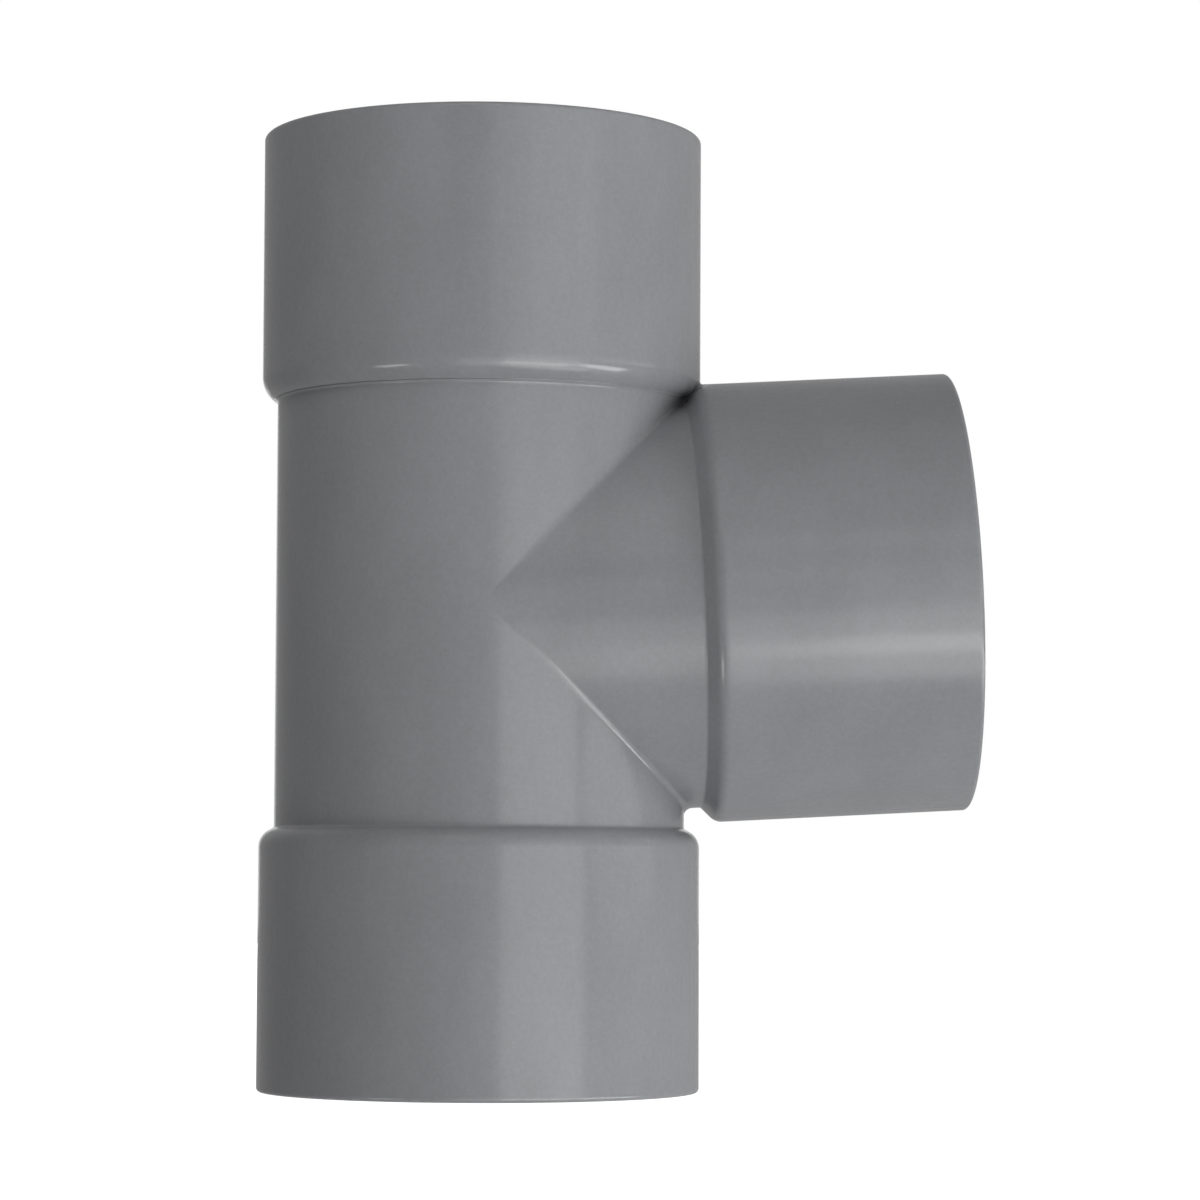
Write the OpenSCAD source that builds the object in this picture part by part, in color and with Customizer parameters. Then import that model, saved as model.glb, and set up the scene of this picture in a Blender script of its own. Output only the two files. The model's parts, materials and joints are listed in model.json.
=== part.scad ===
// Equal drain tee for solvent-cemented pipe, moulded in one piece: a straight run with a socket at each
// end, and a branch with a third socket that rises slightly from the side. The part stands on the mouth
// of its lower socket, with the run along Z and the branch towards +X.

/* [Pipe and sockets] */
// Outside diameter of the pipe that the sockets take
pipe_d = 80; // [50:1:125]
// Play of the pipe in its socket, on the diameter
socket_play = 0.3; // [0.1:0.1:0.8]
// Wall of the sockets
socket_wall = 3.25; // [2.5:0.05:6]
// Width of the ledge that stops the pipe
stop_ledge = 3.05; // [2:0.05:5]
// Outside length of the lower socket, from its mouth to the foot of its shoulder
lower_socket = 51.4; // [30:0.1:90]
// Outside length of the upper socket
upper_socket = 52.6; // [30:0.1:90]
// Outside length of the branch socket
branch_socket = 52.2; // [30:0.1:90]
// Distance from the pipe stop back to the foot of the shoulder
stop_setback = 4; // [2.5:0.1:8]

/* [Barrel and branch] */
// Wall of the barrel and of the branch neck
barrel_wall = 3.3; // [2:0.1:5]
// Angle between the branch and the upper end of the run
branch_angle = 87; // [85:0.5:90]
// Plain barrel between the level of the neck's side and the foot of the lower shoulder
lower_neck = 2.2; // [1:0.1:60]
// The same above the branch, up to the foot of the upper shoulder
upper_neck = 1.3; // [1:0.1:60]
// Plain neck between the barrel's side and the foot of the branch socket's shoulder
branch_neck = 1.7; // [1:0.1:60]
// How much slimmer than the barrel the neck is, on the radius, inside and out
neck_relief = 0.05; // [0.02:0.01:0.3]
// Radius of the ball that rounds the corner between barrel and neck
crease_fillet_r = 1.6; // [0.6:0.1:4]

/* [Shoulders and mouths] */
// Steepness of the run's shoulders at their foot, measured from the pipe's axis
run_shoulder_slope = 62; // [40:1:80]
// Rounding between the run's shoulders and the sockets' sides
run_shoulder_r = 4.6; // [1:0.1:6]
// Steepness of the branch socket's shoulder at its foot
branch_shoulder_slope = 45; // [40:1:80]
// Rounding between the branch socket's shoulder and its side
branch_shoulder_r = 4.2; // [1:0.1:6]
// Rounding of the mouths' outer edge
mouth_round_r = 0.8; // [0.3:0.1:1.2]
// Length of the lead-in chamfer inside the mouths
lead_in_len = 1.2; // [0.5:0.1:4]
// Depth of the lead-in chamfer into the wall
lead_in_depth = 0.7; // [0.2:0.1:1.2]

/* [Hidden] */
$fn = 128;
overcut = 1;

socket_bore_r = (pipe_d + socket_play) / 2;
socket_r = socket_bore_r + socket_wall;
waterway_r = socket_bore_r - stop_ledge;
barrel_r = waterway_r + barrel_wall;
neck_r = barrel_r - neck_relief;

// Each leg is measured from the crossing of the two axes: its reach ends at the foot of its shoulder
side_reach = barrel_r / sin(branch_angle);
lower_reach = side_reach + lower_neck;
upper_reach = side_reach + upper_neck;
branch_reach = side_reach + branch_neck;
crossing_z = lower_socket + lower_reach;

// The crease fillet is a strip of small flat faces: a ring of points about every three degrees round the
// barrel, and so many steps along each ring's arc
ring_step = 3;
arc_steps = 6;
// The ball sinks this far into both walls, so that the strip cuts them and doesn't only touch them
ball_sink = 0.02;

// What a rounded edge leaves of a square one: the edge lies at the origin, the material at -X -Y
module edge_waste(r) {
    difference() {
        translate([-r, -r]) square(r + overcut);
        translate([-r, -r]) circle(r);
    }
}

// Outside of one leg as half a section: X is the radius, Y the distance from the crossing of the axes.
// From the foot of the shoulder a short cone rises at the given slope, and an arc turns it into the side.
module leg_section(tube_r, reach, socket_len, slope, round_r) {
    step = socket_r - tube_r;
    r = min(round_r, step / (1 - cos(slope)));
    cone_rise = step - r * (1 - cos(slope));
    cone_end = reach + cone_rise / tan(slope);
    side_start = cone_end + r * sin(slope);
    mouth = reach + socket_len;
    difference() {
        union() {
            polygon([
                [0, 0],
                [tube_r, 0],
                [tube_r, reach],
                [tube_r + cone_rise, cone_end],
                [socket_r - r, side_start],
                [socket_r, side_start],
                [socket_r, mouth],
                [0, mouth],
            ]);
            intersection() {
                translate([socket_r - r, side_start]) circle(r);
                polygon([
                    [socket_r - r, side_start],
                    [tube_r + cone_rise, cone_end],
                    [socket_r + overcut, cone_end],
                    [socket_r + overcut, side_start],
                ]);
            }
        }
        translate([socket_r, mouth]) edge_waste(mouth_round_r);
    }
}

// Outside of the run, both sockets in one turned shape
module run() {
    rotate_extrude() {
        leg_section(barrel_r, upper_reach, upper_socket, run_shoulder_slope, run_shoulder_r);
        mirror([0, 1])
            leg_section(barrel_r, lower_reach, lower_socket, run_shoulder_slope, run_shoulder_r);
    }
}

module along_branch() {
    rotate([0, branch_angle, 0]) children();
}

// Outside of the branch, from the run's axis to the mouth
module branch() {
    along_branch() rotate_extrude()
        leg_section(neck_r, branch_reach, branch_socket, branch_shoulder_slope, branch_shoulder_r);
}

// Pipe socket of one leg, from the stop to the mouth, with its lead-in chamfer
module socket_bore(reach, socket_len) {
    stop = reach + stop_setback;
    mouth = reach + socket_len;
    translate([0, 0, stop]) cylinder(r = socket_bore_r, h = mouth - stop + overcut);
    translate([0, 0, mouth - lead_in_len])
        cylinder(r1 = socket_bore_r, r2 = socket_bore_r + lead_in_depth, h = lead_in_len);
}

// Everything that is hollow
module waterways() {
    through = lower_reach + upper_reach + 2 * (stop_setback + overcut);
    translate([0, 0, -lower_reach - stop_setback - overcut]) cylinder(r = waterway_r, h = through);
    along_branch() cylinder(r = waterway_r - neck_relief, h = branch_reach + stop_setback + overcut);
    socket_bore(upper_reach, upper_socket);
    rotate([180, 0, 0]) socket_bore(lower_reach, lower_socket);
    along_branch() socket_bore(branch_reach, branch_socket);
}

// Fillet along the upper or the lower crease, where the walls of barrel and neck meet. A ball of radius
// crease_fillet_r rolls along it and touches both walls, so its centre lies on a cylinder round either
// axis. t is the angle of that centre round the run, from the front of the part, and the strip is the
// arc between the ball's two points of contact.
module crease_fillet(side) {
    from_run = barrel_r + crease_fillet_r - ball_sink;
    from_branch = neck_r + crease_fillet_r - ball_sink;
    core_r = barrel_r - barrel_wall / 2;
    // The crease turns back where the ball would lie on the branch's other half, so the strip starts past it
    first = acos(from_branch / from_run) + ring_step;
    rings = floor((180 - 2 * first) / ring_step);
    size = arc_steps + 2;
    end = rings * size;
    // Point on both cylinders: radius a round the run, radius b round the branch
    function above_branch(a, b, t) = side * sqrt(pow(b, 2) - pow(a * cos(t), 2));
    function on_both(a, b, t) = let (up = above_branch(a, b, t))
        [a * sin(t), -a * cos(t), (up + a * sin(t) * cos(branch_angle)) / sin(branch_angle)];
    function to_run(t) = [sin(t), -cos(t), 0];
    function to_branch(t) = let (up = above_branch(from_run, from_branch, t))
        [-up * cos(branch_angle), -from_run * cos(t), up * sin(branch_angle)] / from_branch;
    // Direction a share k of the way from a to b, both of length 1
    function between(a, b, k) = let (w = acos(a * b))
        (a * sin((1 - k) * w) + b * sin(k * w)) / sin(w);
    points = [
        for (i = [0 : rings]) let (
            t = first + i * (180 - 2 * first) / rings,
            centre = on_both(from_run, from_branch, t)
        ) each [
            for (k = [0 : arc_steps])
                centre - crease_fillet_r * between(to_run(t), to_branch(t), k / arc_steps),
            on_both(core_r, core_r - neck_relief, t)
        ]
    ];
    sides = [
        for (i = [0 : rings - 1], k = [0 : size - 1]) let (
            a = i * size + k,
            b = i * size + (k + 1) % size
        ) each [[a, b, a + size], [b, b + size, a + size]]
    ];
    caps = [for (k = [1 : size - 2]) each [[0, k + 1, k], [end, end + k, end + k + 1]]];
    faces = concat(sides, caps);
    polyhedron(points, side < 0 ? faces : [for (f = faces) [f[0], f[2], f[1]]]);
}

module tee_body() {
    color("#7b7c7e")
    translate([0, 0, crossing_z])
    difference() {
        union() {
            run();
            branch();
            crease_fillet(1);
            crease_fillet(-1);
        }
        waterways();
    }
}

tee_body();
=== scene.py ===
# %% [markdown]
# # A moulded drain tee
# This lesson dresses one plastic pipe fitting: an equal tee for a drain, with three sockets that
# take a pipe and solvent cement. The fitting is one piece of grey rigid PVC, shot into a steel
# mould, so the whole lesson is about one smooth skin and how light runs over it. The engineering
# model arrives as a fixed frame, in metres, and everything we make has to lie where that model
# says.

# %% Load the frame
import json
import math

import bmesh
import bpy
import numpy as np
from mathutils import Matrix, Vector


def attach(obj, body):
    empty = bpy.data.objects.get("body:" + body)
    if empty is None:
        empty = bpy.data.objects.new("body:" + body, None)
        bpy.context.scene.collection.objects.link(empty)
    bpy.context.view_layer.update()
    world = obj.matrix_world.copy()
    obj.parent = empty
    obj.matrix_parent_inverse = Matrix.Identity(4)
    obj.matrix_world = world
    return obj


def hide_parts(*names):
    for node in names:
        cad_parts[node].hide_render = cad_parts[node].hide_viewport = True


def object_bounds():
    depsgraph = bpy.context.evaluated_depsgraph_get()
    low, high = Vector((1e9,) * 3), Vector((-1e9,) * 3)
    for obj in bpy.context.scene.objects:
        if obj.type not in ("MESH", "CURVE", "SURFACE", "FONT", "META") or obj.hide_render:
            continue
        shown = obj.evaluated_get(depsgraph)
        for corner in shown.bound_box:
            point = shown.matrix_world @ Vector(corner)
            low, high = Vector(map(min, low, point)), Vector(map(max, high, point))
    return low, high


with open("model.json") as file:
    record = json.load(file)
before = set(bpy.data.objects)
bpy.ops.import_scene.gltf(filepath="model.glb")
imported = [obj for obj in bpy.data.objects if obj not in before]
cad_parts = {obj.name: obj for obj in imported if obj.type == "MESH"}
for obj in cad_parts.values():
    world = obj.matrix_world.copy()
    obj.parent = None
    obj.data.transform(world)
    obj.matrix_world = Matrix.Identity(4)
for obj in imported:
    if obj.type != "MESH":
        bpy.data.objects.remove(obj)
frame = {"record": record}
cad_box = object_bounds()
BODY = "root"
TEE = "tee_body"
print("frame box in mm:", [[round(1000 * x, 2) for x in corner] for corner in cad_box])

# %% [markdown]
# ## The sizes
# The tee stands on its lower socket. Its run goes up along Z, and the branch leaves towards +X,
# rising three degrees. What the frame can tell us we read from it: the sockets' bore and the
# branch's direction. The rest are the moulding's own sizes, written here in millimetres and turned
# into metres once, by `MM`. Each leg is measured from the point where the two axes cross. If the
# sizes are right, they add up to the height of the frame.

# %% Sizes
MM = 0.001
SOCKET_WALL = 3.25 * MM
STOP_LEDGE = 3.05 * MM
STOP_SETBACK = 4 * MM
BARREL_WALL = 3.3 * MM
LOWER_NECK, UPPER_NECK, BRANCH_NECK = 2.2 * MM, 1.3 * MM, 1.7 * MM
LOWER_SOCKET, UPPER_SOCKET, BRANCH_SOCKET = 51.4 * MM, 52.6 * MM, 52.2 * MM

mounts = {mount["name"]: mount for mount in frame["record"]["mounts"]}
bore_r = mounts["branch_socket"]["dims"]["r_mm"] * MM
branch_axis = np.array(mounts["branch_socket"]["axis"], float)
branch_axis /= np.linalg.norm(branch_axis)

socket_r = bore_r + SOCKET_WALL
waterway_r = bore_r - STOP_LEDGE
barrel_r = waterway_r + BARREL_WALL

side_reach = barrel_r / branch_axis[0]
lower_reach = side_reach + LOWER_NECK
upper_reach = side_reach + UPPER_NECK
branch_reach = side_reach + BRANCH_NECK
crossing = np.array([0, 0, LOWER_SOCKET + lower_reach])
print("height in mm by the sizes:", round((crossing[2] + upper_reach + UPPER_SOCKET) / MM, 3),
      "and in the frame:", round(cad_box[1][2] / MM, 3))

# %% [markdown]
# ## Arcs instead of corners
# Nothing that comes out of a mould has a knife edge. We write each section as a line with sharp
# corners, because that is easy to read, and let one function turn every corner into an arc. It also
# puts a point close to each arc's ends, which keeps the smooth shading of a long flat stretch from
# being pulled towards the arc beside it.

# %% Round the corners of a line
ARC_STEP = math.radians(8)
SMALL_ARC_STEP = math.radians(18)
SMALL_ARC_R = 0.9 * MM
SUPPORT = 0.35 * MM


def rounded(corners, radii):
    """Points of a line with its inner corners turned into arcs.

    At a corner where the line turns by w, an arc of radius r starts and ends r tan(w / 2) before
    and after it. Its centre lies on the corner's bisector, and the points step round it evenly.
    What two arcs leave of the straight between them sets how far from their ends the extra points
    may lie.
    """
    corners, radii = np.array(corners, float), np.array(radii)
    lengths = np.linalg.norm(np.diff(corners, axis=0), axis=1)
    ways = np.diff(corners, axis=0) / lengths[:, None]
    turns = np.arctan2(ways[:-1, 0] * ways[1:, 1] - ways[:-1, 1] * ways[1:, 0],
                       np.sum(ways[:-1] * ways[1:], 1))
    reach = radii * np.tan(np.abs(turns) / 2)
    support = np.minimum((lengths - np.append(reach, 0) - np.append(0, reach)) / 3, SUPPORT)
    points = [corners[0]]
    for i, (here, r, bend) in enumerate(zip(corners[1:-1], radii, turns)):
        towards, away = ways[i], ways[i + 1]
        normal = np.array([-towards[1], towards[0]]) * math.copysign(1, bend)
        centre = here - towards * reach[i] + normal * r
        steps = max(2, math.ceil(abs(bend) / (ARC_STEP if r > SMALL_ARC_R else SMALL_ARC_STEP)))
        share = np.linspace(0, abs(bend), steps + 1)[:, None]
        arc = centre + r * (towards * np.sin(share) - normal * np.cos(share))
        points += [arc[0] - towards * support[i], *arc, arc[-1] + away * support[i + 1]]
    points.append(corners[-1])
    return np.array(points)


print("points of a line with one rounded right angle:",
      len(rounded([(0, 0), (10 * MM, 0), (10 * MM, 10 * MM)], [3 * MM])))

# %% [markdown]
# ## The section of one leg
# Every leg is a turned shape, so one section describes it: a line that leaves the middle of the tee
# along the barrel, climbs the shoulder, runs along the socket to the mouth, and comes back inside
# over the lead-in, the socket's bore, the pipe stop and the waterway. The three shoulders differ.
# Their slopes show in the outline, and their rounds in the highlights: a wide round spreads its
# line of light and a tight one sharpens it.

# %% The three sections
LEAD_IN_LEN = 1.2 * MM
LEAD_IN_DEPTH = 0.7 * MM
MOUTH_R = 0.8 * MM
BLUNT_R = 0.3 * MM
SHARP_R = 0.15 * MM
LEAST_GAP = 0.02 * MM


def thinned(points, least):
    """The same line without the points that lie closer than least to the one before them."""
    kept = [points[0]]
    for point in points[1:]:
        if np.linalg.norm(point - kept[-1]) > least:
            kept.append(point)
    return np.array(kept)


def shoulder_end(reach, slope_deg, early):
    """Where a shoulder of even slope would reach the socket's side, measured from the crossing."""
    return reach - early + (socket_r - barrel_r) / math.tan(math.radians(slope_deg))


def leg_section(reach, socket_len, slope_deg, shoulder_r, foot_r, early):
    """The outside and the inside of one leg, as points (radius, distance from the crossing).

    The shoulder's foot lies nearer to the crossing than the reach says, by the length early.
    """
    mouth, stop = reach + socket_len, reach + STOP_SETBACK
    corners = [
        (barrel_r, 0), (barrel_r, reach - early), (socket_r, shoulder_end(reach, slope_deg, early)),
        (socket_r, mouth), (bore_r + LEAD_IN_DEPTH, mouth), (bore_r, mouth - LEAD_IN_LEN),
        (bore_r, stop), (waterway_r, stop), (waterway_r, 0),
    ]
    radii = [foot_r, shoulder_r, MOUTH_R, SHARP_R, BLUNT_R, SHARP_R, BLUNT_R]
    return thinned(rounded(corners, radii), LEAST_GAP)


SHAPES = {
    "upper": {"reach": upper_reach, "socket_len": UPPER_SOCKET, "slope_deg": 62,
              "shoulder_r": 5.3 * MM, "foot_r": 0.9 * MM, "early": 0.15 * MM},
    "lower": {"reach": lower_reach, "socket_len": LOWER_SOCKET, "slope_deg": 62,
              "shoulder_r": 3.8 * MM, "foot_r": 0.6 * MM, "early": 0.2 * MM},
    "branch": {"reach": branch_reach, "socket_len": BRANCH_SOCKET, "slope_deg": 47,
               "shoulder_r": 3.0 * MM, "foot_r": 0.6 * MM, "early": 0.4 * MM},
}
sections = {leg: leg_section(**shape) for leg, shape in SHAPES.items()}
print("points in each section:", [len(section) for section in sections.values()])

# %% [markdown]
# ## Turning a section round its axis
# A turned surface is a function of two parameters: the angle round the leg and the length walked
# along its section. We give every leg the same angles, counted from the front of the tee, so that
# the legs' grids fit each other, column by column, where they meet.

# %% Points on a leg
COLUMNS = 240
FRONT = np.array([0, -1.0, 0])
UP = np.array([0, 0, 1.0])
branch_up = np.array([-branch_axis[2], 0, branch_axis[0]])
turn = np.radians(np.arange(COLUMNS) * 360 / COLUMNS)
half = COLUMNS // 2 + 1

# For each leg its axis, and the side direction that its angles turn towards
LEGS = {
    "upper": (UP, np.array([1.0, 0, 0])),
    "lower": (-UP, np.array([1.0, 0, 0])),
    "branch": (branch_axis, branch_up),
}


def on_leg(leg, angle, radius, distance):
    """Points distance along the leg's axis and radius away from it, at an angle round it.

    The angle starts at the front of the tee and turns towards the leg's side direction.
    """
    axis, side = LEGS[leg]
    around = np.cos(angle)[..., None] * FRONT + np.sin(angle)[..., None] * side
    return distance[..., None] * axis + radius[..., None] * around


def outside_of(leg):
    """The outer half of a leg's section, up to the mouth, with the length walked along it."""
    section = sections[leg]
    wall = section[: np.argmax(section[:, 1]) + 1]
    walked = np.concatenate([[0], np.cumsum(np.linalg.norm(np.diff(wall, axis=0), axis=1))])
    return wall, walked


def walk(leg, angle, at, wall, walked):
    """Points on a leg's wall, at an angle round it, once the length at has been walked on it."""
    return on_leg(leg, angle, np.interp(at, walked, wall[:, 0]), np.interp(at, walked, wall[:, 1]))


print("columns round a leg:", COLUMNS, "and from its front to its back:", half)

# %% [markdown]
# ## How far is it to a wall?
# To find where barrel and branch meet, and later to round that corner, we have to know how far any
# point lies from either wall, and which way the wall faces there. A turned wall makes that a flat
# question: in the plane of its section it is only a chain of straight lines.

# %% Distance to a turned wall
def wall_normals(profile):
    """Unit normals at a profile's points: the mean of the two lines that meet there."""
    along = np.diff(profile, axis=0)
    lines = np.stack([along[:, 1], -along[:, 0]], 1) / np.linalg.norm(along, axis=1)[:, None]
    ends = np.concatenate([lines[:1], lines[:-1] + lines[1:], lines[-1:]])
    return ends / np.linalg.norm(ends, axis=1)[:, None]


def to_wall(points, axis, profile):
    """Signed distance from points to a turned wall, and the wall's normal there.

    A point's radius and its distance along the axis place it in the plane of the profile. The
    nearest spot on each of the profile's lines is found in that plane, and the nearest of them all
    counts.
    """
    along = points @ axis
    radial = points - along[:, None] * axis
    radius = np.linalg.norm(radial, axis=1)
    place = np.stack([radius, along], 1)[:, None]
    line = np.diff(profile, axis=0)
    share = np.sum((place - profile[:-1]) * line, -1) / np.sum(line ** 2, -1)
    share = np.clip(share, 0, 1)
    gap = place - (profile[:-1] + share[..., None] * line)
    nearest = np.argmin(np.sum(gap ** 2, -1), 1)
    row = np.arange(len(points))
    share, gap = share[row, nearest, None], gap[row, nearest]
    corner = wall_normals(profile)
    flat = corner[nearest] * (1 - share) + corner[nearest + 1] * share
    flat /= np.linalg.norm(flat, axis=1)[:, None]
    normal = flat[:, :1] * radial / radius[:, None] + flat[:, 1:] * axis
    return np.sum(gap * flat, 1), normal


mouth_edge = UPPER_SOCKET * UP + socket_r * FRONT
step, _ = to_wall(mouth_edge[None], UP, np.array([[barrel_r, 0], [barrel_r, 1]]))
print("a socket's side stands out from the barrel's wall by", round(step[0] / MM, 2), "mm")

# %% [markdown]
# ## Which walls meet
# Outside, the run's wall passes the branch's, shoulders included, because in the crotch the
# shoulders touch. Inside, two plain waterways cross. Every one of these walls reaches past the
# place where it is met, so that no distance is ever measured to its end.

# %% Walls of run and branch
UPSIDE_DOWN = np.array([1, -1])
DEEP = 60 * MM
BEHIND = -20 * MM
upper_wall, upper_walked = outside_of("upper")
lower_wall, lower_walked = outside_of("lower")
branch_wall, _ = outside_of("branch")
run_wall = np.concatenate([(lower_wall * UPSIDE_DOWN)[:0:-1], upper_wall[1:]])
neck_wall = np.concatenate([[[barrel_r, BEHIND]], branch_wall[1:]])
run_hollow = np.array([[waterway_r, -DEEP], [waterway_r, DEEP]])
neck_hollow = np.array([[waterway_r, BEHIND], [waterway_r, DEEP]])
waterway = np.array([[waterway_r, 0], [waterway_r, DEEP]])
print("points on the run's wall:", len(run_wall), "and on the branch's:", len(neck_wall))

# %% [markdown]
# ## Where the legs meet
# Barrel and branch have the same radius, so their walls meet along two flat curves that start at
# the front and back of the tee and climb to the crotch above the branch and below it. A boolean
# union would find those curves for us, but it leaves thin slivers that smooth shading shows as
# dents. We work the curve out instead: along each line of the upper or lower leg we look for the
# last place that still lies inside the branch. All three legs then start from that one curve, and
# their vertices can be welded.

# %% Find the seams
FINER = 3
WALK_STEPS = 400
WALK_PAST = 8 * MM


def crease(leg, wall, walked, beside):
    """Points where the leg's wall leaves the branch, one for each column from front to back.

    Lines three times as close as the columns are walked outwards in small steps. The last step that
    starts inside the branch holds the crossing, and the share of the step follows from the
    distances at its two ends. In the crotch, where the curve climbs the shoulders in a jump, the
    columns are spread evenly over its length.
    """
    angle = np.linspace(0, math.pi, FINER * (half - 1) + 1)
    furthest = np.interp(upper_reach + WALK_PAST, wall[:, 1], walked)
    steps = np.linspace(0, furthest, WALK_STEPS)
    grid = walk(leg, angle[:, None], steps, wall, walked)
    gap = to_wall(grid.reshape(-1, 3), branch_axis, beside)[0].reshape(len(angle), -1)
    last = np.minimum(len(steps) - 1 - np.argmax(gap[:, ::-1] <= 0, 1), len(steps) - 2)
    row = np.arange(len(angle))
    here, there = gap[row, last], gap[row, last + 1]
    at = steps[last] + here / (here - there) * (steps[1] - steps[0])
    at[[0, -1]] = 0
    curve = walk(leg, angle, at, wall, walked)
    length = np.concatenate([[0], np.cumsum(np.linalg.norm(np.diff(curve, axis=0), axis=1))])
    wanted = length[::FINER].copy()
    crotch = slice(half // 3, half - half // 3)
    wanted[crotch] = np.linspace(wanted[crotch][0], wanted[crotch][-1], len(wanted[crotch]))
    return np.stack([np.interp(wanted, length, curve[:, i]) for i in range(3)], 1)


outer_seam = {
    "upper": crease("upper", upper_wall, upper_walked, neck_wall),
    "lower": crease("lower", lower_wall, lower_walked, neck_wall),
}
inner_seam = {
    leg: crease(leg, waterway, waterway[:, 1], neck_hollow) for leg in ("upper", "lower")
}
for leg, seam in outer_seam.items():
    print(leg, "crotch, from the crossing in mm:", np.round(seam[half // 2] / MM, 2))

# %% [markdown]
# ## A ball rolled along the crease
# In the steel mould the crease is a ridge, and the fitter has blunted it with a stone. That leaves
# a strip of nearly even width, which catches a thin line of light. We get it the way a caulker
# does: a ball rolls along the corner, touching both walls, and everything between its two points of
# contact is pushed out onto the ball. For an even width the ball has to grow where the walls meet
# at a flatter angle. At the very front of the tee they are tangent, and there the strip fades away
# by itself.

# %% Roll a ball along a corner
LEAST_BALL = 0.5 * MM
MOST_BALL = 5 * MM
ROLLS = 16
SUNK = -0.001 * MM
TINY = 1e-9


def filleted(points, walls, strip):
    """Points moved onto the surface that a ball leaves as it rolls between two turned walls.

    For each point we look for the nearest centre that the ball could have outside both walls. With
    a and b the distances from the walls at the centre found so far, and n and m the normals there,
    the ball's radius is half the strip's width over the tangent of half the angle between n and m.
    The next centre is point + j n + k m, with j and k solved from both distances being one radius.
    Where j or k isn't positive, that wall is out of reach and only the other one counts. The point
    then slides along its ray from the centre, to one radius away from it.
    """
    centre = points.copy()
    inside = np.min([to_wall(points, axis, profile)[0] for axis, profile in walls], 0) < SUNK
    for _ in range(ROLLS):
        (a, n), (b, m) = (to_wall(centre, axis, profile) for axis, profile in walls)
        both = np.sum(n * m, 1)
        bend = np.sqrt(np.maximum(1 - both, TINY) / np.maximum(1 + both, TINY))
        radius = np.clip(strip(points) / bend, LEAST_BALL, MOST_BALL)
        ray = centre - points
        short_a = radius - a + np.sum(ray * n, 1)
        short_b = radius - b + np.sum(ray * m, 1)
        spread = np.maximum(1 - both ** 2, TINY)
        j, k = (short_a - both * short_b) / spread, (short_b - both * short_a) / spread
        only_a = short_a * (short_a >= short_b)
        only_b = short_b * (short_b > short_a)
        corner = (j > 0) & (k > 0)
        j, k = np.where(corner, j, only_a), np.where(corner, k, only_b)
        centre = points + j[:, None] * n + k[:, None] * m
    ray = points - centre
    length = np.maximum(np.linalg.norm(ray, axis=1), TINY)
    return np.where((corner | inside)[:, None], centre + ray * (radius / length)[:, None], points)


# %% [markdown]
# How wide is the strip? Above the branch its line of light is widest at the front and thins out
# towards the crotch. Below, it is the other way round: the ridge was blunted most in the lower
# crotch. Inside, where nobody polishes, a narrow strip will do.

# %% Widths of the strips
UPPER_HALF, UPPER_MORE = 0.5, 0.6
LOWER_HALF, LOWER_MORE = 0.9, 0.8
INNER_HALF = 0.4
UPPER_FROM, UPPER_OVER, LOWER_OVER = 20 * MM, 19 * MM, 25 * MM


def outer_strip(points):
    """Half the strip's width outside, from a point's depth, its distance from the middle plane.

    Above the branch it is 0.5 mm up to a depth of 20 mm and rises to 1.1 mm at 39 mm. Below, it is
    0.9 mm and the square of 1 - depth / 25 mm times 0.8 mm more.
    """
    depth = np.abs(points[:, 1])
    above = UPPER_HALF + UPPER_MORE * np.clip((depth - UPPER_FROM) / UPPER_OVER, 0, 1)
    below = LOWER_HALF + LOWER_MORE * np.clip(1 - depth / LOWER_OVER, 0, 1) ** 2
    return np.where(points[:, 2] > 0, above, below) * MM


def inner_strip(points):
    """Half the strip's width on the ridge inside, between the two waterways."""
    return np.full(len(points), INNER_HALF * MM)


outer_walls = ((UP, run_wall), (branch_axis, neck_wall))
inner_walls = ((UP, run_hollow), (branch_axis, neck_hollow))
for leg, seam in outer_seam.items():
    print(leg, "strip in mm, at the front and in the crotch:",
          np.round(2 * outer_strip(seam)[[1, half // 2]] / MM, 2))

# %% [markdown]
# ## One leg as a grid
# Each leg is one grid of 240 columns round its axis. Its rows leave the outer seam, follow the
# section over the mouth, and end at the inner seam, so outside and inside are one closed skin and
# the wall has its true thickness everywhere. We start with the rows beside a seam. They crowd
# together there, because that is where the ball will round them.

# %% Rows beside a seam
CROWDING = 4.0
OUTER_ROWS, INNER_ROWS = 26, 18


def seam_round(leg, seam, radius):
    """A seam's points for every column of a leg: its creases, or the plain ring at the back."""
    ring = on_leg("upper", turn, np.full(COLUMNS, radius), np.zeros(COLUMNS))
    if leg == "branch":
        return np.concatenate([seam["upper"], seam["lower"][-2:0:-1]])
    return np.concatenate([seam[leg], ring[half:]])


def start_rows(leg, seam, wall, walked, end, count):
    """Rows from a seam to end, the length walked along the wall at which the plain rows begin.

    Row w of 0 to 1 lies at the share (exp(c w) - 1) / (exp(c) - 1) of the way, so they crowd at the
    seam. The angles of the seam's points swing over to the even angles of the columns.
    """
    axis, side = LEGS[leg]
    angle = np.arctan2(seam @ side, seam @ FRONT)
    swing = (angle - turn + math.pi) % (2 * math.pi) - math.pi
    begin = np.interp(seam @ axis, wall[:, 1], walked)
    way = np.linspace(0, 1, count + 1)
    g = (np.expm1(CROWDING * way) / math.expm1(CROWDING))[:, None]
    rows = walk(leg, turn + swing * (1 - g), begin + (end - begin) * g, wall, walked)
    rows[0] = seam
    return rows


first_step = math.expm1(CROWDING / OUTER_ROWS) / math.expm1(CROWDING)
print("share of the way that the first row covers:", round(first_step, 4))

# %% [markdown]
# The rest of a leg follows its section. Long straight stretches get extra rows, because a quad that
# is too long bends the reflections. Once all rows are there, the ball has to roll over those near a
# seam, on the branch's side of the tee only: at the back the run is one plain tube.

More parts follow.
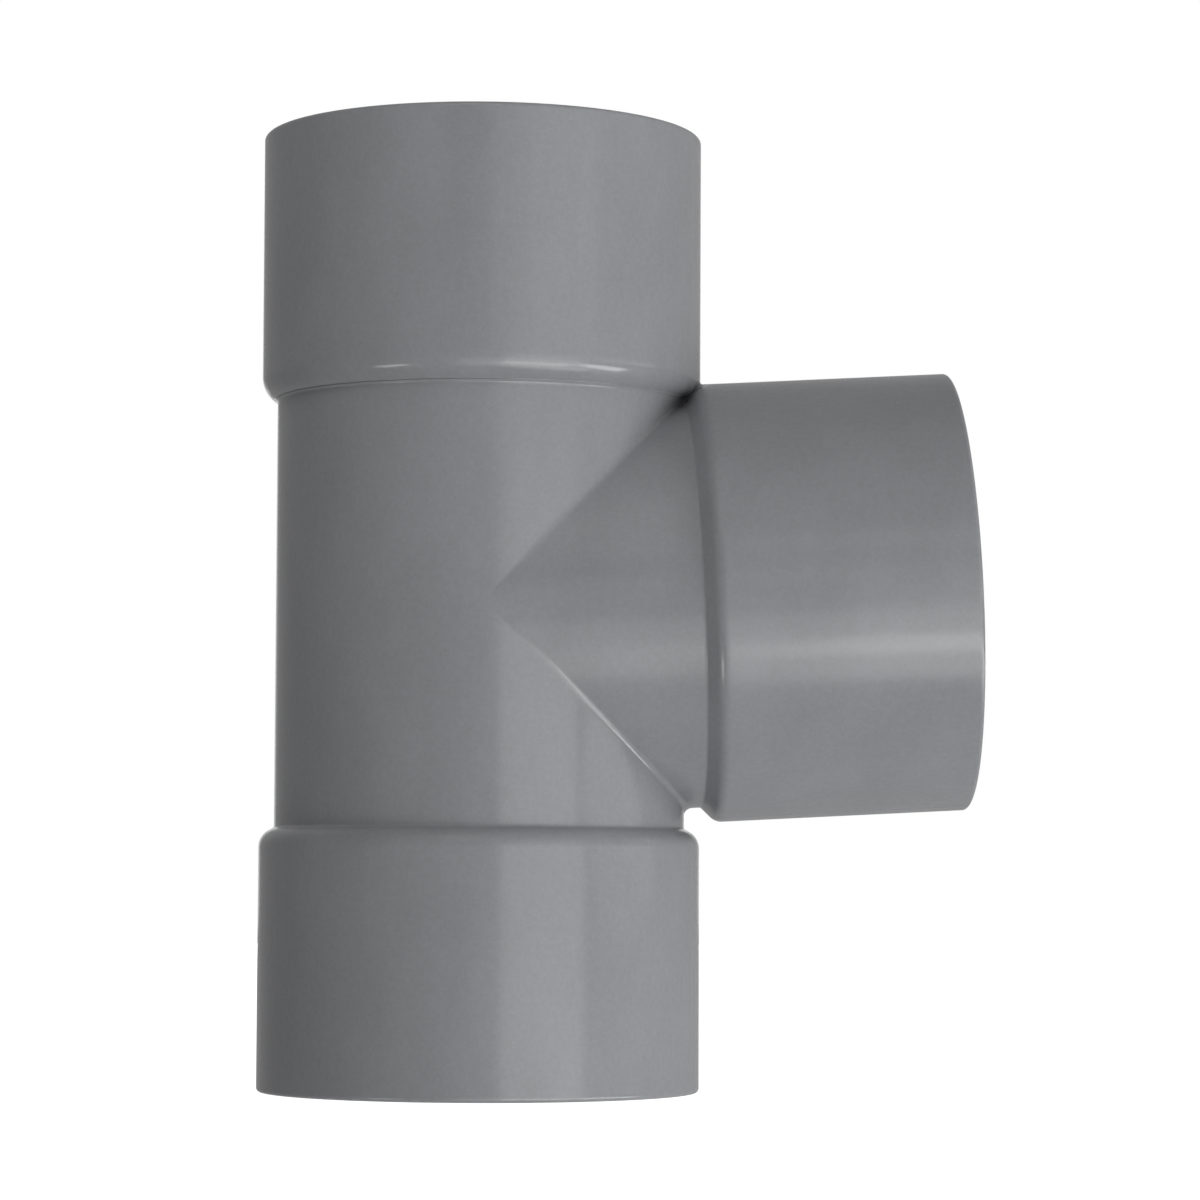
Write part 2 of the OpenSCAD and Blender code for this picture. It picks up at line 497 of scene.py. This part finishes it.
# %% Fill a line and blunt a grid
ROW_GAP = 9 * MM
BRANCH_SIDE = 0.01 * MM


def filled(points, gap):
    """A line with extra points wherever two neighbours lie further apart than gap."""
    out = [points[:1]]
    for a, b in zip(points[:-1], points[1:]):
        steps = max(1, math.ceil(np.linalg.norm(b - a) / gap))
        out.append(a + (b - a) * (np.arange(1, steps + 1) / steps)[:, None])
    return np.concatenate(out)


def blunt(grid, rows, walls, strip):
    """Roll the ball over some rows of a grid, where they lie on the branch's side of the tee."""
    part = grid[rows]
    forward = part @ branch_axis > BRANCH_SIDE
    part[forward] = filleted(part[forward], walls, strip)
    grid[rows] = part


print("points of a straight of 30 mm, once it is filled:",
      len(filled(np.array([[0, 0], [0, 30 * MM]]), ROW_GAP)))

# %% [markdown]
# In the crotch the two shoulders run into each other. The shoulder's rows start higher up there, a
# little after the seam, and lie closer together, so that no row crosses the seam.

# %% Rows of a shoulder
BEFORE_FOOT = 0.6 * MM
AFTER_SHOULDER = 3 * MM
LEAST_START = 0.8 * MM
CLEAR = 0.2 * MM


def shoulder_rows(leg, seam):
    """Rows from the shoulder's foot to past its top, with the lengths where they start and end.

    A row at the length s moves to start + (s - foot) (past - start) / (past - foot), where start is
    the foot or, in the crotch, a little after the seam.
    """
    shape, (wall, walked) = SHAPES[leg], outside_of(leg)
    half_turn = math.tan(math.radians(shape["slope_deg"]) / 2)
    low = shape["reach"] - shape["early"] - shape["foot_r"] * half_turn - BEFORE_FOOT
    high = (shoulder_end(shape["reach"], shape["slope_deg"], shape["early"])
            + shape["shoulder_r"] * half_turn + AFTER_SHOULDER)
    foot, past = np.interp(low, wall[:, 1], walked), np.interp(high, wall[:, 1], walked)
    begin = np.interp(seam @ LEGS[leg][0], wall[:, 1], walked)
    start = np.maximum(foot, begin + LEAST_START)
    within = walked[(walked > foot + CLEAR) & (walked < past - CLEAR)]
    plain = np.concatenate([within, [past]])[:, None]
    moved = start + (plain - foot) * (past - start) / (past - foot)
    return walk(leg, turn, moved, wall, walked), start, past


branch_rows, begins, _ = shoulder_rows("branch", seam_round("branch", outer_seam, barrel_r))
print("rows of the branch's shoulder:", len(branch_rows), "starting between",
      round(begins.min() / MM, 2), "and", round(begins.max() / MM, 2), "mm along its wall")

# %% [markdown]
# Now the whole leg can be laid out: rows beside the outer seam, the shoulder, the socket with its
# mouth, bore and pipe stop, and the rows beside the inner seam.

# %% Build the three legs
STOP_CLEAR = 1 * MM
NEXT_ROW = 1 * MM


def waterway_end(leg):
    """Where the plain waterway ends, just before the stop's rounded edge."""
    return SHAPES[leg]["reach"] + STOP_SETBACK - STOP_CLEAR


def socket_rows(leg, past):
    """Rows from past the shoulder over the mouth and down the bore, to the edge of the stop."""
    section, (wall, walked) = sections[leg], outside_of(leg)
    beyond = np.arange(len(section)) > len(wall)
    last = np.argmax((section[:, 1] <= waterway_end(leg)) & beyond)
    top = np.array([[np.interp(past, walked, wall[:, 0]), np.interp(past, walked, wall[:, 1])]])
    onward = section[np.argmax(section[:, 1] > top[0, 1] + NEXT_ROW):last]
    stretch = filled(np.concatenate([top, onward]), ROW_GAP)[1:, :, None]
    return on_leg(leg, turn, stretch[:, 0], stretch[:, 1])


def leg_grid(leg):
    """All rows of one leg, from the outer seam to the inner one, as an array of points."""
    seam = seam_round(leg, outer_seam, barrel_r)
    shoulder, start, past = shoulder_rows(leg, seam)
    outer = start_rows(leg, seam, *outside_of(leg), start, OUTER_ROWS)
    inner = start_rows(leg, seam_round(leg, inner_seam, waterway_r), waterway, waterway[:, 1],
                       waterway_end(leg), INNER_ROWS)[::-1]
    grid = np.concatenate([outer, shoulder, socket_rows(leg, past), inner])
    blunt(grid, slice(None, len(outer) + len(shoulder)), outer_walls, outer_strip)
    blunt(grid, slice(-len(inner), None), inner_walls, inner_strip)
    return grid


grids = [leg_grid(leg) for leg in ("upper", "lower", "branch")]
print("rows per leg:", [len(grid) for grid in grids])

# %% [markdown]
# ## Put the skin together
# The grids' points go into one mesh as they are, and the quads follow from their numbers. A grid's
# points are counted row by row, and its first point has the number that the grids before it leave.

# %% Number the quads
def quads(rows, first):
    """Corner numbers of a grid's quads, closed round the columns."""
    i, j = np.meshgrid(np.arange(rows - 1), np.arange(COLUMNS), indexing="ij")
    k = (j + 1) % COLUMNS
    return first + np.stack([i * COLUMNS + j, (i + 1) * COLUMNS + j, (i + 1) * COLUMNS + k,
                             i * COLUMNS + k], -1).reshape(-1, 4)


print("first and last quad between two rows:", quads(2, 0)[[0, -1]].tolist())

# %% [markdown]
# A seam point belongs to two legs or three, so before the faces are made, each leg's own number for
# it is exchanged for the number that the first leg gave it. A closed skin has no open edge; we
# count those edges and print the skin's volume.

# %% Weld the legs
def skin(name, grids):
    """One closed mesh from the grids of the upper leg, the lower leg and the branch."""
    points = np.concatenate([grid.reshape(-1, 3) for grid in grids]) + crossing
    firsts = np.cumsum([0] + [len(grid) * COLUMNS for grid in grids])
    faces = [quads(len(grid), first) for grid, first in zip(grids, firsts)]
    faces = [faces[0][:, ::-1], *faces[1:]]
    number = np.arange(len(points))
    column = np.arange(COLUMNS)
    back = (column == 0) | (column >= half - 1)
    for end in (0, -1):
        seam = [first + (end % len(grid)) * COLUMNS + column for grid, first in zip(grids, firsts)]
        number[seam[1][back]] = seam[0][back]
        number[seam[2][:half]] = seam[0][:half]
        number[seam[2][half:]] = seam[1][COLUMNS - column[half:]]
    used, faces = np.unique(number[np.concatenate(faces)], return_inverse=True)
    mesh = bpy.data.meshes.new(name)
    mesh.from_pydata(points[used].tolist(), [], faces.reshape(-1, 4).tolist())
    mesh.shade_smooth()
    piece = bpy.data.objects.new(name, mesh)
    bpy.context.scene.collection.objects.link(piece)
    return piece


def measured(piece):
    """Count the piece's open edges and measure its volume."""
    work = bmesh.new()
    work.from_mesh(piece.data)
    loose = sum(not (edge.is_manifold and edge.is_contiguous) for edge in work.edges)
    print(piece.name, "faces", len(work.faces), "open or turned edges", loose,
          "volume in cm3", round(work.calc_volume(signed=True) * 1e6, 2))
    work.free()


moulding = skin("moulding", grids)
measured(moulding)

# %% [markdown]
# Beside the upper crotch, two shoulders and two walls run into one small pocket. Rows from three
# sides arrive there and lie over each other like crumpled cloth. A mould has no such creases, so we
# let each vertex of the pocket drift towards its neighbours two dozen times, which leaves a soft
# hollow. Then we tell the frame which body the moulding rides on and which plain part it replaces.

# %% Smooth the two pockets
POCKET = ((39 * MM, 45 * MM), (4.5 * MM, 11.5 * MM), (41 * MM, 45.5 * MM))
SKIN_DEPTH = 1.5 * MM
DRIFTS = 25
DRIFT = 0.5


def eased(piece):
    """Move the vertices of both pockets halfway to their neighbours' mean, again and again.

    The pockets are boxes that mirror each other in y, and only the outer wall counts, which lies
    further from the run's axis than any waterway.
    """
    work = bmesh.new()
    work.from_mesh(piece.data)
    near = []
    for vertex in work.verts:
        x, y, z = vertex.co - Vector(crossing)
        in_box = all(low < value < high for value, (low, high) in zip((x, abs(y), z), POCKET))
        if in_box and math.hypot(x, y) > barrel_r - SKIN_DEPTH:
            near.append(vertex)
    for _ in range(DRIFTS):
        bmesh.ops.smooth_vert(work, verts=near, factor=DRIFT, use_axis_x=True, use_axis_y=True,
                              use_axis_z=True)
    work.to_mesh(piece.data)
    work.free()
    print("vertices eased in the pockets:", len(near))


eased(moulding)
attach(moulding, BODY)
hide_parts(TEE)

# %% [markdown]
# ## Writing shader sums
# A material is a small program of nodes. Wiring one by hand takes three lines for every plus sign,
# so we wrap a node's output in a class that knows Python's own signs. `wave * 0.2 + 0.4` then adds
# the two Math nodes by itself. Everything that isn't a sum comes from one method, `node`, which
# takes the node's type, its settings, and what its sockets hold or are linked to.

# %% A small language for nodes
class Wire:
    """An output of a node. Adding to it and multiplying it make Math nodes."""

    def __init__(self, sheet, socket):
        self.sheet, self.socket = sheet, socket

    def _with(self, operation, other):
        return self.sheet.node("ShaderNodeMath", {"operation": operation}, {0: self, 1: other})

    def __add__(self, other):
        return self._with("ADD", other)

    def __mul__(self, other):
        return self._with("MULTIPLY", other)

    def either(self, other):
        """The larger of the two."""
        return self._with("MAXIMUM", other)

    __radd__, __rmul__ = __add__, __mul__


class Sheet:
    """The node tree of a material or of the world."""

    def __init__(self, owner):
        self.owner = owner
        owner.use_nodes = True
        self.tree = owner.node_tree
        self.tree.nodes.clear()

    def node(self, kind, settings=None, inputs=None, output=0):
        """A new node, its settings made first and its sockets filled or linked after them."""
        made = self.tree.nodes.new(kind)
        for key, value in (settings or {}).items():
            setattr(made, key, value)
        for key, value in (inputs or {}).items():
            if isinstance(value, Wire):
                self.tree.links.new(value.socket, made.inputs[key])
            else:
                made.inputs[key].default_value = value
        return Wire(self, made.outputs[output]) if made.outputs else None

    def steps(self, value, low, high):
        """A smooth step of value, from 0 at low to 1 at high."""
        return self.node("ShaderNodeMapRange", {"interpolation_type": "SMOOTHSTEP"},
                         {0: value, 1: low, 2: high, 3: 0.0, 4: 1.0})

    def blend(self, share, first, second):
        """Two colours mixed: the first where share is 0, the second where it is 1."""
        return self.node("ShaderNodeMix", {"data_type": "RGBA"}, {0: share, 6: first, 7: second}, 2)

    def noise(self, place, size, detail=2.0, roughness=0.5):
        """Noise from 0 to 1 whose patches are about size metres across."""
        return self.node("ShaderNodeTexNoise", {"noise_dimensions": "3D"},
                         {"Vector": place, "Scale": 1 / size, "Detail": detail,
                          "Roughness": roughness})


# %% [markdown]
# ## Grey PVC
# Rigid PVC pigmented grey is nearly neutral, a little cool, and reflects about a fifth of the
# light. This mould has been used a lot, so the skin is glossy but not a mirror: it has a fine grain
# and the gentle waves of orange peel. Both are too small for the mesh, so they are a bump, as deep
# as on the moulding. The colour isn't quite even either. The pigment is finely mottled, the melt
# left faint cloudy patches that are drawn out along the run, and the highest grains are rubbed to
# pale specks. All this changes the colour and the roughness by a few hundredths only, which the eye
# reads as plastic.

# %% The PVC
GREY_DARK = (0.184, 0.1877, 0.1955, 1)
GREY_PALE = (0.221, 0.2253, 0.2350, 1)
SPECK = (0.247, 0.251, 0.260, 1)
GRAIN_SIZE, MOTTLE_SIZE, PEEL_SIZE, CLOUD_SIZE = 0.45 * MM, 1.1 * MM, 1.6 * MM, 14 * MM
DRAWN_OUT = (1.0, 1.0, 0.5)
SMOOTHEST = 0.125
BUMP_DEPTH = 0.008 * MM
PVC_IOR = 1.53

pvc = Sheet(bpy.data.materials.new("grey_pvc"))
place = pvc.node("ShaderNodeTexCoord", output="Object")
grain = pvc.noise(place, GRAIN_SIZE, detail=2)
mottle = pvc.noise(place, MOTTLE_SIZE, detail=4, roughness=0.7)
peel = pvc.noise(place, PEEL_SIZE, detail=2)
flow = pvc.node("ShaderNodeMapping", inputs={"Vector": place, "Scale": DRAWN_OUT})
cloud = pvc.noise(flow, CLOUD_SIZE, detail=4, roughness=0.6)

paleness = pvc.steps(cloud, 0.3, 0.7) * 0.4 + pvc.steps(mottle, 0.2, 0.8) * 0.6
pigment = pvc.blend(paleness, GREY_DARK, GREY_PALE)
colour = pvc.blend(pvc.steps(grain, 0.6, 0.75) * 0.4, pigment, SPECK)
roughness = cloud * 0.05 + grain * 0.04 + SMOOTHEST
bump = pvc.node("ShaderNodeBump", inputs={
    "Strength": 1.0, "Distance": BUMP_DEPTH, "Height": peel * 0.6 + grain * 0.4})
surface = pvc.node("ShaderNodeBsdfPrincipled", inputs={
    "Base Color": colour, "Roughness": roughness, "IOR": PVC_IOR, "Normal": bump})
pvc.node("ShaderNodeOutputMaterial", inputs={"Surface": surface})
moulding.data.materials.append(pvc.owner)
print("nodes in the PVC:", len(pvc.tree.nodes))

# %% [markdown]
# ## The camera
# The outline in the photograph fixes the camera: it stands a little over eighty centimetres in
# front, low down, looks up by almost four degrees and has a long lens. We write its place in metres
# and its three angles in degrees, and build its matrix from them.

# %% The camera
CAMERA_PLACE = Vector((-10.31, -812.79, 41.83)) * MM
YAW, PITCH, ROLL = 2.394, 3.873, 0.236
LENS, SENSOR = 123.37, 36
NEAREST, FURTHEST = 0.05, 30


def camera_matrix(place, yaw, pitch, roll):
    """A camera that looks along +Y, turned right by yaw, up by pitch, then rolled by roll."""
    turned = Matrix.Rotation(math.radians(-yaw), 4, "Z")
    raised = Matrix.Rotation(math.radians(90 + pitch), 4, "X")
    rolled = Matrix.Rotation(math.radians(roll), 4, "Z")
    return Matrix.Translation(place) @ turned @ raised @ rolled


camera_data = bpy.data.cameras.new("camera")
camera_data.lens, camera_data.sensor_width = LENS, SENSOR
camera_data.clip_start, camera_data.clip_end = NEAREST, FURTHEST
camera = bpy.data.objects.new("camera", camera_data)
camera.matrix_world = camera_matrix(CAMERA_PLACE, YAW, PITCH, ROLL)
bpy.context.scene.collection.objects.link(camera)
bpy.context.scene.camera = camera
print("camera to the tee's middle in m:", round((CAMERA_PLACE - Vector(crossing)).length, 3))

# %% [markdown]
# ## Floor and world
# The photograph has a plain white ground. Lighting a floor until it turns white would flood the
# object too, so the white is only what the camera and the reflections see: there the floor gives
# mostly its own even white, and the rest comes from real light, so that the soft shadow under the
# tee stays. The floor is a light table: lamps under it shine through. The world is white in the
# same way, and lights the tee with a small part of that white.

# %% Floor
FLOOR_SHADOW = 0.4
FLOOR_WHITE = 1.62
FLOOR_GREY = (0.8, 0.8, 0.8, 1)
WHITE = (1, 1, 1, 1)
FLOOR_GAP = 0.02 * MM
FLOOR_SIDE = 4.0


def staged(name, points, faces, material):
    """A mesh that belongs to the studio."""
    mesh = bpy.data.meshes.new(name)
    mesh.from_pydata(points, [], faces)
    mesh.materials.append(material)
    piece = bpy.data.objects.new(name, mesh)
    bpy.context.scene.collection.objects.link(piece)
    print("staged", name, "with faces:", len(faces))
    return piece


def seen_directly(sheet):
    """1 for rays from the camera, and for reflected and transmitted ones, otherwise 0."""
    camera_ray, glossy_ray, transmission_ray = (
        sheet.node("ShaderNodeLightPath", output=name)
        for name in ("Is Camera Ray", "Is Glossy Ray", "Is Transmission Ray"))
    return camera_ray.either(glossy_ray).either(transmission_ray)


def white_ground(name, lit_share):
    """A white that keeps lit_share of the real light on it where it is seen.

    The rest is a strength that makes the sum a little more than white wherever the floor is lit, so
    that the floor's far edge can't be told from the white behind it and only the shadow falls below
    white.
    """
    sheet = Sheet(bpy.data.materials.new(name))
    lit = sheet.node("ShaderNodeBsdfDiffuse", inputs={"Color": FLOOR_GREY})
    white = sheet.node("ShaderNodeEmission", inputs={"Color": WHITE, "Strength": FLOOR_WHITE})
    mixed = sheet.node("ShaderNodeMixShader", inputs={
        0: seen_directly(sheet) * (1 - lit_share), 1: lit, 2: white})
    sheet.node("ShaderNodeOutputMaterial", inputs={"Surface": mixed})
    return sheet.owner


FLOOR_CORNERS = [(x * FLOOR_SIDE, y * FLOOR_SIDE, -FLOOR_GAP)
                 for x, y in ((-1, -1), (1, -1), (1, 1), (-1, 1))]
floor = staged("floor", FLOOR_CORNERS, [(0, 1, 2, 3)], white_ground("floor_white", FLOOR_SHADOW))
floor.visible_shadow = floor.visible_glossy = floor.visible_diffuse = False

# %% World
WORLD_LIGHT = 0.14

world = Sheet(bpy.data.worlds.new("studio"))
bpy.context.scene.world = world.owner
strength = seen_directly(world) * (1 - WORLD_LIGHT) + WORLD_LIGHT
ground = world.node("ShaderNodeBackground", inputs={"Color": WHITE, "Strength": strength})
world.node("ShaderNodeOutputWorld", inputs={"Surface": ground})
print("share of the world's white that lights the tee:", WORLD_LIGHT)

# %% [markdown]
# ## What the skin reflects besides the lamps
# A glossy skin shows a dark studio as well as it shows the lamps. So a dark shell stands behind the
# camera and round the sides, for reflections alone. It is open behind the tee, where the white
# wall gives the outline its thin pale rim. A strip of black cloth hangs behind the camera, a little
# above it. The branch looks up at it and shows it as the dark stripe above its pale band.

# %% Shell and cloth
ROOM_RADIUS = 3.0
ROOM_OPENING = 164
ROOM_TONE = 0.33
SHELL_FRONT, SHELL_BACK = 2, 178
SHELL_ROWS, SHELL_STEP = 40, 6
BELOW = -0.1
CLOTH_Y, CLOTH_SIDE, CLOTH_FOOT, CLOTH_TOP = -1.6, 0.6, 0.41, 0.78


def even(name, tone):
    """A surface that shows the same tone everywhere."""
    sheet = Sheet(bpy.data.materials.new(name))
    glow = sheet.node("ShaderNodeEmission", inputs={"Color": WHITE, "Strength": tone})
    sheet.node("ShaderNodeOutputMaterial", inputs={"Surface": glow})
    return sheet.owner


def shell(name, radius, opening, material):
    """Part of a sphere round the tee, from straight in front to an angle of opening from there.

    A point at angle a from the front and b round it lies at radius times
    (sin a cos b, -cos a, sin a sin b). Below the tee the shell is closed.
    """
    b = np.radians(np.arange(0, 360, SHELL_STEP))[None]
    end = np.where(np.sin(b) < BELOW, SHELL_BACK, opening)
    share = np.linspace(0, 1, SHELL_ROWS)[:, None]
    a = np.radians(SHELL_FRONT + (end - SHELL_FRONT) * share)
    points = radius * np.stack([np.sin(a) * np.cos(b), -np.cos(a) + 0 * b,
                                np.sin(a) * np.sin(b)], -1)
    i, j = np.meshgrid(np.arange(len(a) - 1), np.arange(b.size), indexing="ij")
    k = (j + 1) % b.size
    faces = np.stack([i * b.size + j, i * b.size + k, (i + 1) * b.size + k,
                      (i + 1) * b.size + j], -1)
    return staged(name, points.reshape(-1, 3).tolist(), faces.reshape(-1, 4).tolist(), material)


room = shell("room", ROOM_RADIUS, ROOM_OPENING, even("dark_room", ROOM_TONE))
CLOTH_CORNERS = [(x, CLOTH_Y, z) for x, z in (
    (-CLOTH_SIDE, CLOTH_FOOT), (CLOTH_SIDE, CLOTH_FOOT),
    (CLOTH_SIDE, CLOTH_TOP), (-CLOTH_SIDE, CLOTH_TOP))]
cloth = staged("black_cloth", CLOTH_CORNERS, [(0, 1, 2, 3)], even("black", 0.0))
for screen in (room, cloth):
    screen.visible_camera = screen.visible_diffuse = False
    screen.visible_shadow = screen.visible_transmission = False

# %% [markdown]
# ## Light
# The grey skin tells where the lamps stood. A softbox does two things: it draws a shape in the
# gloss, and it fills the matt colour under it with soft light. A real studio's softboxes fill
# corners of the room and no rectangle, so we split the two: panels that only shine draw the
# reflections, and panels that only fill give the soft light. Each panel stands on a circle round
# the tee, placed by its angle to the right of straight in front.

# %% Lamps
LAMP_DISTANCE = 1.5


def panel(name, corner, wide, tall, radiance, glossy=True, diffuse=True):
    """A rectangular lamp that shines against the cross product of its two sides.

    A lamp's power is its radiance times pi times its area.
    """
    wide, tall, corner = Vector(wide), Vector(tall), Vector(corner)
    lamp = bpy.data.lights.new(name, "AREA")
    lamp.shape = "RECTANGLE"
    lamp.size, lamp.size_y = wide.length, tall.length
    lamp.energy = radiance * math.pi * wide.length * tall.length
    holder = bpy.data.objects.new(name, lamp)
    across, up = wide.normalized(), tall.normalized()
    turned = Matrix((across, up, across.cross(up))).transposed().to_4x4()
    holder.matrix_world = Matrix.Translation(corner + (wide + tall) / 2) @ turned
    holder.visible_camera = False
    holder.visible_glossy, holder.visible_diffuse = glossy, diffuse
    bpy.context.scene.collection.objects.link(holder)
    print(f"{name}: {wide.length:.2f} by {tall.length:.2f} m, {lamp.energy:.1f} W")


def upright(name, azimuths, heights, radiance, distance=LAMP_DISTANCE, **seen_by):
    """A panel that stands upright between two azimuths in degrees and two heights in metres."""
    bottom, top = heights
    ends = [Vector((distance * math.sin(math.radians(a)), -distance * math.cos(math.radians(a)),
                    bottom)) for a in azimuths]
    panel(name, ends[0], ends[1] - ends[0], (0, 0, top - bottom), radiance, **seen_by)


def lying(name, x_span, y_span, level, radiance, **seen_by):
    """A panel that lies level under the floor and shines up."""
    panel(name, (x_span[0], y_span[1], level), (x_span[1] - x_span[0], 0, 0),
          (0, y_span[0] - y_span[1], 0), radiance, **seen_by)


def aimed(name, place, side, radiance, **seen_by):
    """A square panel that is turned towards the middle of the tee."""
    place = Vector(place)
    way = (Vector(crossing) - place).normalized()
    wide = way.cross(Vector((0, 0, 1))).normalized()
    tall = wide.cross(way)
    panel(name, place - (wide + tall) * side / 2, wide * side, tall * side, radiance, **seen_by)


SHINE = {"diffuse": False}
FILL = {"glossy": False}

# %% [markdown]
# The key softbox stands to the right of the camera and gives the right half its sheen. Its near
# edge is the soft upright line on barrel and lower socket. It is bright up to a little above the
# camera. The upper socket looks over that, into its dim top, and shows hardly any line. Its lower
# part is what the underside of the branch sees.

# %% The key's shine
upright("key", (10, 54), (-0.10, 0.25), 1.25, **SHINE)
upright("key_low", (10, 54), (-0.55, -0.10), 1.75, **SHINE)
upright("key_lowest", (12, 65), (-1.4, -0.83), 2.0, **SHINE)
upright("key_high", (4, 60), (0.25, 0.9), 0.55, **SHINE)
upright("key_far", (59, 100), (0.04, 0.25), 0.9, **SHINE)

# %% [markdown]
# Three low, narrow and bright panels are seen only by surfaces that turn quickly, and these squeeze
# them into lines: the thin highlight on the round of the upper shoulder, its faint left end, and
# the line of light along the lower crease.

# %% Lines of light
upright("edge_near", (10, 50), (-0.83, -0.55), 4.2, **SHINE)
upright("edge_far", (55, 90), (-0.70, -0.35), 5.8, **SHINE)
upright("edge_left", (-62, -44), (-1.0, -0.72), 4.5, **SHINE)

# %% [markdown]
# The pale band along the branch is a low panel straight in front, below the camera. Its lower edge
# is the band's own lower edge.

# %% The branch's band
upright("band_high", (-14, 12), (-0.60, -0.18), 0.65, **SHINE)
upright("band_low", (-14, 12), (-1.25, -0.60), 0.95, **SHINE)

# %% [markdown]
# Then the soft light. It comes mostly from the right, below and beside the tee, with a broad panel
# behind for the far side and one under the light table. A smaller lamp hangs near the tee, high in
# front of it, and a weaker one at its left. Being near, they light the upper socket more than the
# lower one, and the lower left stays the darkest corner.

# %% The fill
upright("fill_low", (10, 60), (-1.3, -0.2), 4.5, **FILL)
upright("side", (60, 110), (-0.2, 0.4), 4.1, **FILL)
upright("side_high", (60, 110), (0.4, 1.5), 0.75, **FILL)
upright("back", (155, 205), (0.0, 1.2), 5.5, distance=2.0, **FILL)
lying("under", (-0.5, 0.9), (-1.2, 0.5), -0.7, 0.85, **FILL)
aimed("near_front", (-0.10, -0.45, 0.55), 0.25, 6.7, **FILL)
aimed("near_left", (-0.25, -0.20, 0.60), 0.25, 2.4, **FILL)

# %% [markdown]
# ## The view transform
# The render keeps its colours as they are, under the plain Standard view transform.

# %% View transform
bpy.context.scene.view_settings.view_transform = "Standard"
